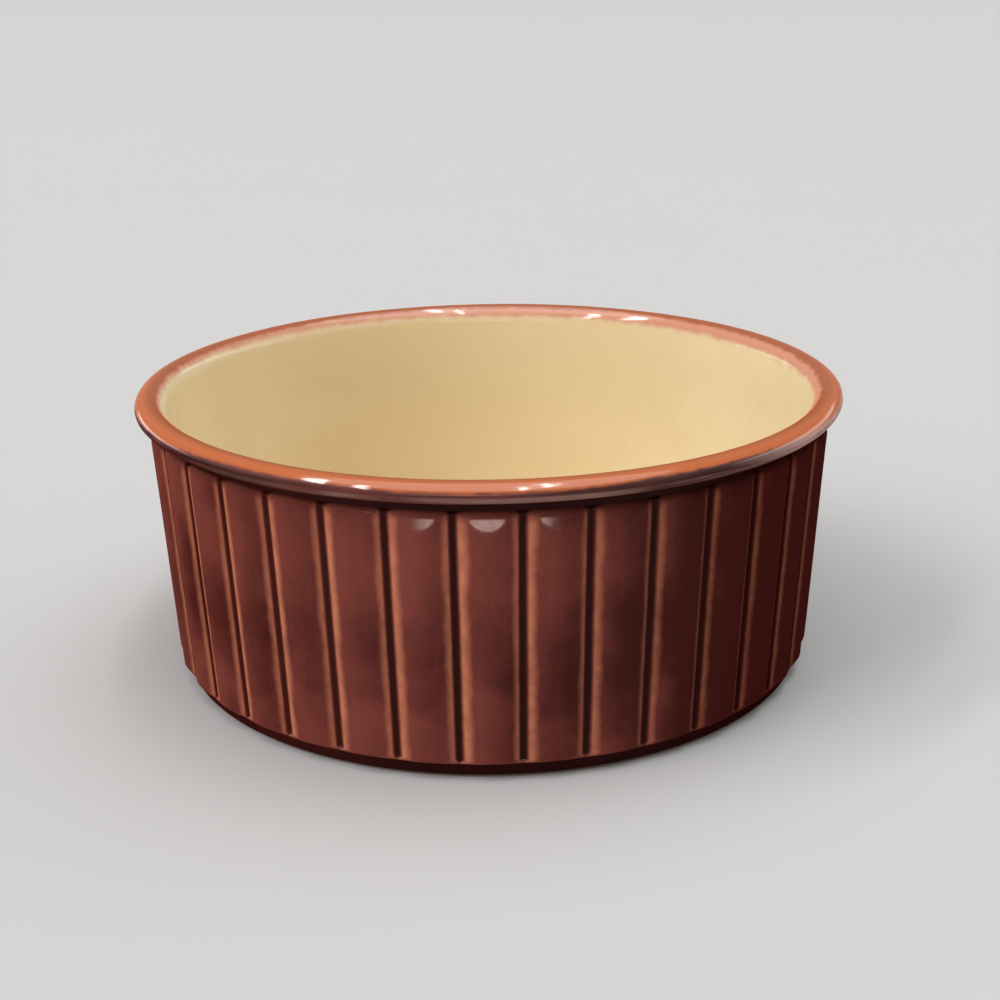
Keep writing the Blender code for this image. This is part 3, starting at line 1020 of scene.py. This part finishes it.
def add_floor(scene):
    bm = bmesh.new()
    radius = scene.dish_studio.floor_radius
    bmesh.ops.create_circle(bm, cap_ends=True, segments=FLOOR_SIDES, radius=radius)
    mesh = bpy.data.meshes.new("floor")
    bm.to_mesh(mesh)
    bm.free()
    mesh.materials.append(floor_material(scene))
    floor = bpy.data.objects.new("floor", mesh)
    scene.collection.objects.link(floor)


def add_sky(scene):
    """Even light from all round, and a backdrop that the camera and reflections see."""
    studio = scene.dish_studio
    world = bpy.data.worlds.new("studio_sky")
    world.use_nodes = True
    net = Net(world.node_tree)
    sky = world.node_tree.nodes["Background"]
    rays = net.add("ShaderNodeLightPath").outputs
    seen = net.math("MAXIMUM", rays["Is Camera Ray"], rays["Is Glossy Ray"])
    seen = net.math("MAXIMUM", seen, rays["Is Transmission Ray"])
    sky.inputs["Color"].default_value = SKY_TINT
    net.feed(sky.inputs["Strength"], net.ease(seen, 0.0, 1.0, studio.sky, studio.backdrop))
    scene.world = world


def add_lamp(scene, name, kind, bearing, elevation, lean=0.0, glossy=True):
    """Lamp that faces the dish from far off, with its angles in degrees."""
    lamp = bpy.data.lights.new(name, kind)
    holder = bpy.data.objects.new(name, lamp)
    rise = radians(elevation)
    towards = Vector(around(cos(rise), radians(bearing), sin(rise)))
    facing = towards.to_track_quat("Z", "Y").to_matrix().to_4x4()
    leaning = Matrix.Rotation(radians(lean), 4, "Z")
    holder.matrix_world = Matrix.Translation(towards * BOX_REACH) @ facing @ leaning
    holder.visible_camera = False
    holder.visible_glossy = glossy
    scene.collection.objects.link(holder)
    return lamp


def add_lamps(scene):
    for name, bearing, elevation, lean, width, reach, brightness, tint in SOFT_BOXES:
        lamp = add_lamp(scene, name, "AREA", bearing, elevation, lean)
        lamp.shape = "ELLIPSE"
        lamp.size = 2 * BOX_REACH * tan(radians(width) / 2)
        lamp.size_y = 2 * BOX_REACH * tan(radians(reach) / 2)
        oval = pi / 4 * lamp.size * lamp.size_y
        lamp.energy = brightness * pi * oval
        lamp.color = tint
    for name, bearing, elevation, width, strength in SUNS:
        lamp = add_lamp(scene, name, "SUN", bearing, elevation, glossy=False)
        lamp.angle = radians(width)
        lamp.energy = strength


def add_camera(scene):
    studio = scene.dish_studio
    camera = bpy.data.cameras.new("camera")
    camera.lens = studio.lens
    camera.sensor_width = SENSOR_WIDTH
    holder = bpy.data.objects.new("camera", camera)
    place = around(studio.camera_reach, studio.camera_turn, studio.camera_height)
    heading = Matrix.Rotation(-studio.camera_heading, 4, "Z")
    tilt = Matrix.Rotation(pi / 2 - studio.camera_tilt, 4, "X")
    roll = Matrix.Rotation(studio.camera_roll, 4, "Z")
    holder.matrix_world = Matrix.Translation(place) @ heading @ tilt @ roll
    scene.collection.objects.link(holder)
    scene.camera = holder


class DISH_OT_clay_body(bpy.types.Operator):
    """Make the clay body, which shows at the foot ring"""

    bl_idname = "dish.clay_body"
    bl_label = "Clay body"

    def execute(self, context):
        return make_piece(
            context.scene, "clay_body", Section.clay_rows, clay_material, "stoneware_body"
        )


class DISH_OT_brown_coat(bpy.types.Operator):
    """Make the brown coat on the staves and over the rim"""

    bl_idname = "dish.brown_coat"
    bl_label = "Brown coat"

    def execute(self, context):
        return make_piece(
            context.scene, "brown_coat", Section.coat_rows, brown_material, "outer_glaze"
        )


class DISH_OT_cream_liner(bpy.types.Operator):
    """Make the cream coat inside"""

    bl_idname = "dish.cream_liner"
    bl_label = "Cream liner"

    def execute(self, context):
        return make_piece(
            context.scene, "cream_liner", Section.liner_rows, cream_material, "liner_glaze"
        )


class DISH_OT_underside_coat(bpy.types.Operator):
    """Make the brown coat under the floor"""

    bl_idname = "dish.underside_coat"
    bl_label = "Underside coat"

    def execute(self, context):
        return make_piece(
            context.scene, "underside_coat", Section.disc_rows, underside_material,
            "underside_glaze",
        )


class DISH_OT_studio(bpy.types.Operator):
    """Make the floor, the light and the camera"""

    bl_idname = "dish.studio"
    bl_label = "Studio"

    def execute(self, context):
        scene = context.scene
        scene.view_settings.view_transform = "Standard"
        add_floor(scene)
        add_sky(scene)
        add_lamps(scene)
        add_camera(scene)
        return {"FINISHED"}


class DISH_PT_panel(bpy.types.Panel):
    """Sizes, colours and pieces of the dish"""

    bl_idname = "DISH_PT_panel"
    bl_label = "Casserole dish"
    bl_space_type = "VIEW_3D"
    bl_region_type = "UI"
    bl_category = "Dish"

    def draw(self, context):
        for attribute, group, title in GROUPS:
            box = self.layout.box()
            box.label(text=title)
            for name in group.__annotations__:
                box.prop(getattr(context.scene, attribute), name)
        for operator in OPERATORS:
            self.layout.operator(operator.bl_idname)


GROUPS = (
    ("dish_clay", ClaySizes, "Clay"),
    ("dish_staves", StaveSizes, "Staves"),
    ("dish_glaze", GlazeFinish, "Glaze"),
    ("dish_studio", StudioSettings, "Studio"),
)
OPERATORS = (
    DISH_OT_clay_body, DISH_OT_brown_coat, DISH_OT_cream_liner, DISH_OT_underside_coat, DISH_OT_studio,
)


def register():
    for attribute, group, title in GROUPS:
        bpy.utils.register_class(group)
        setattr(bpy.types.Scene, attribute, bpy.props.PointerProperty(type=group, name=title))
    for cls in OPERATORS + (DISH_PT_panel,):
        bpy.utils.register_class(cls)


def unregister():
    for cls in (DISH_PT_panel,) + OPERATORS[::-1]:
        bpy.utils.unregister_class(cls)
    for attribute, group, title in reversed(GROUPS):
        delattr(bpy.types.Scene, attribute)
        bpy.utils.unregister_class(group)


def main():
    register()
    bpy.ops.dish.clay_body()
    bpy.ops.dish.brown_coat()
    bpy.ops.dish.cream_liner()
    bpy.ops.dish.underside_coat()
    bpy.ops.dish.studio()


if __name__ == "__main__":
    main()
